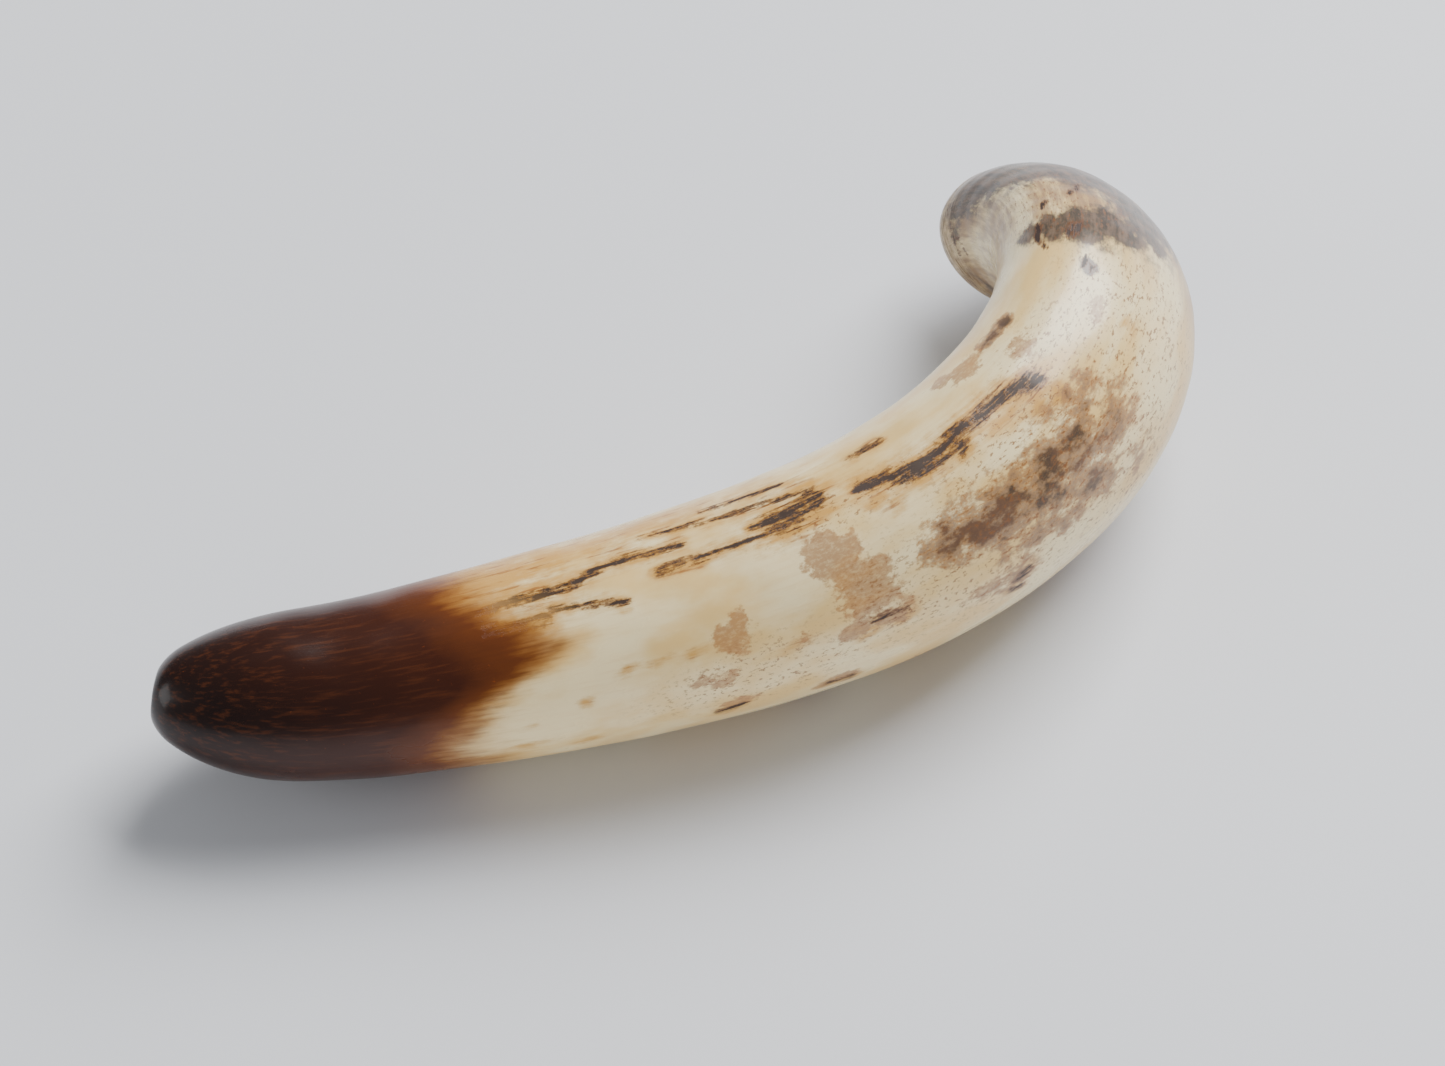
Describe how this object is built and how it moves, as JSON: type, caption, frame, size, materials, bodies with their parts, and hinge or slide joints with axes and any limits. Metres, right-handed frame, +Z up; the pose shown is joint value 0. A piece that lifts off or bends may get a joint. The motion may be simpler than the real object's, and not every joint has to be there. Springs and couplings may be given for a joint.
{
  "type": "shofar",
  "caption": "Curved hollow horn blown through a drilled tip: dark solid tip, pale mottled body, smoothly rounded open bell.",
  "frame": {"origin": "middle of the bounding box's bottom, on the surface the horn lies on", "axes": "+Z up; +X from the blown tip towards the belly, the longest extent; +Y towards the bell"},
  "size_m": [0.311, 0.2124, 0.0877],
  "materials": {
    "dark_tip_horn": "polished dark brown horn",
    "mottled_horn": "polished cream horn with brown mottling",
    "rim_horn": "polished grey-brown cut edge of horn"
  },
  "bodies": {
    "root": {"mouthpiece": "dark_tip_horn", "solid_tip": "dark_tip_horn", "horn_neck": "mottled_horn", "horn_belly": "mottled_horn", "bell_bend": "mottled_horn", "bell_rim": "rim_horn"}
  },
  "joints": []
}
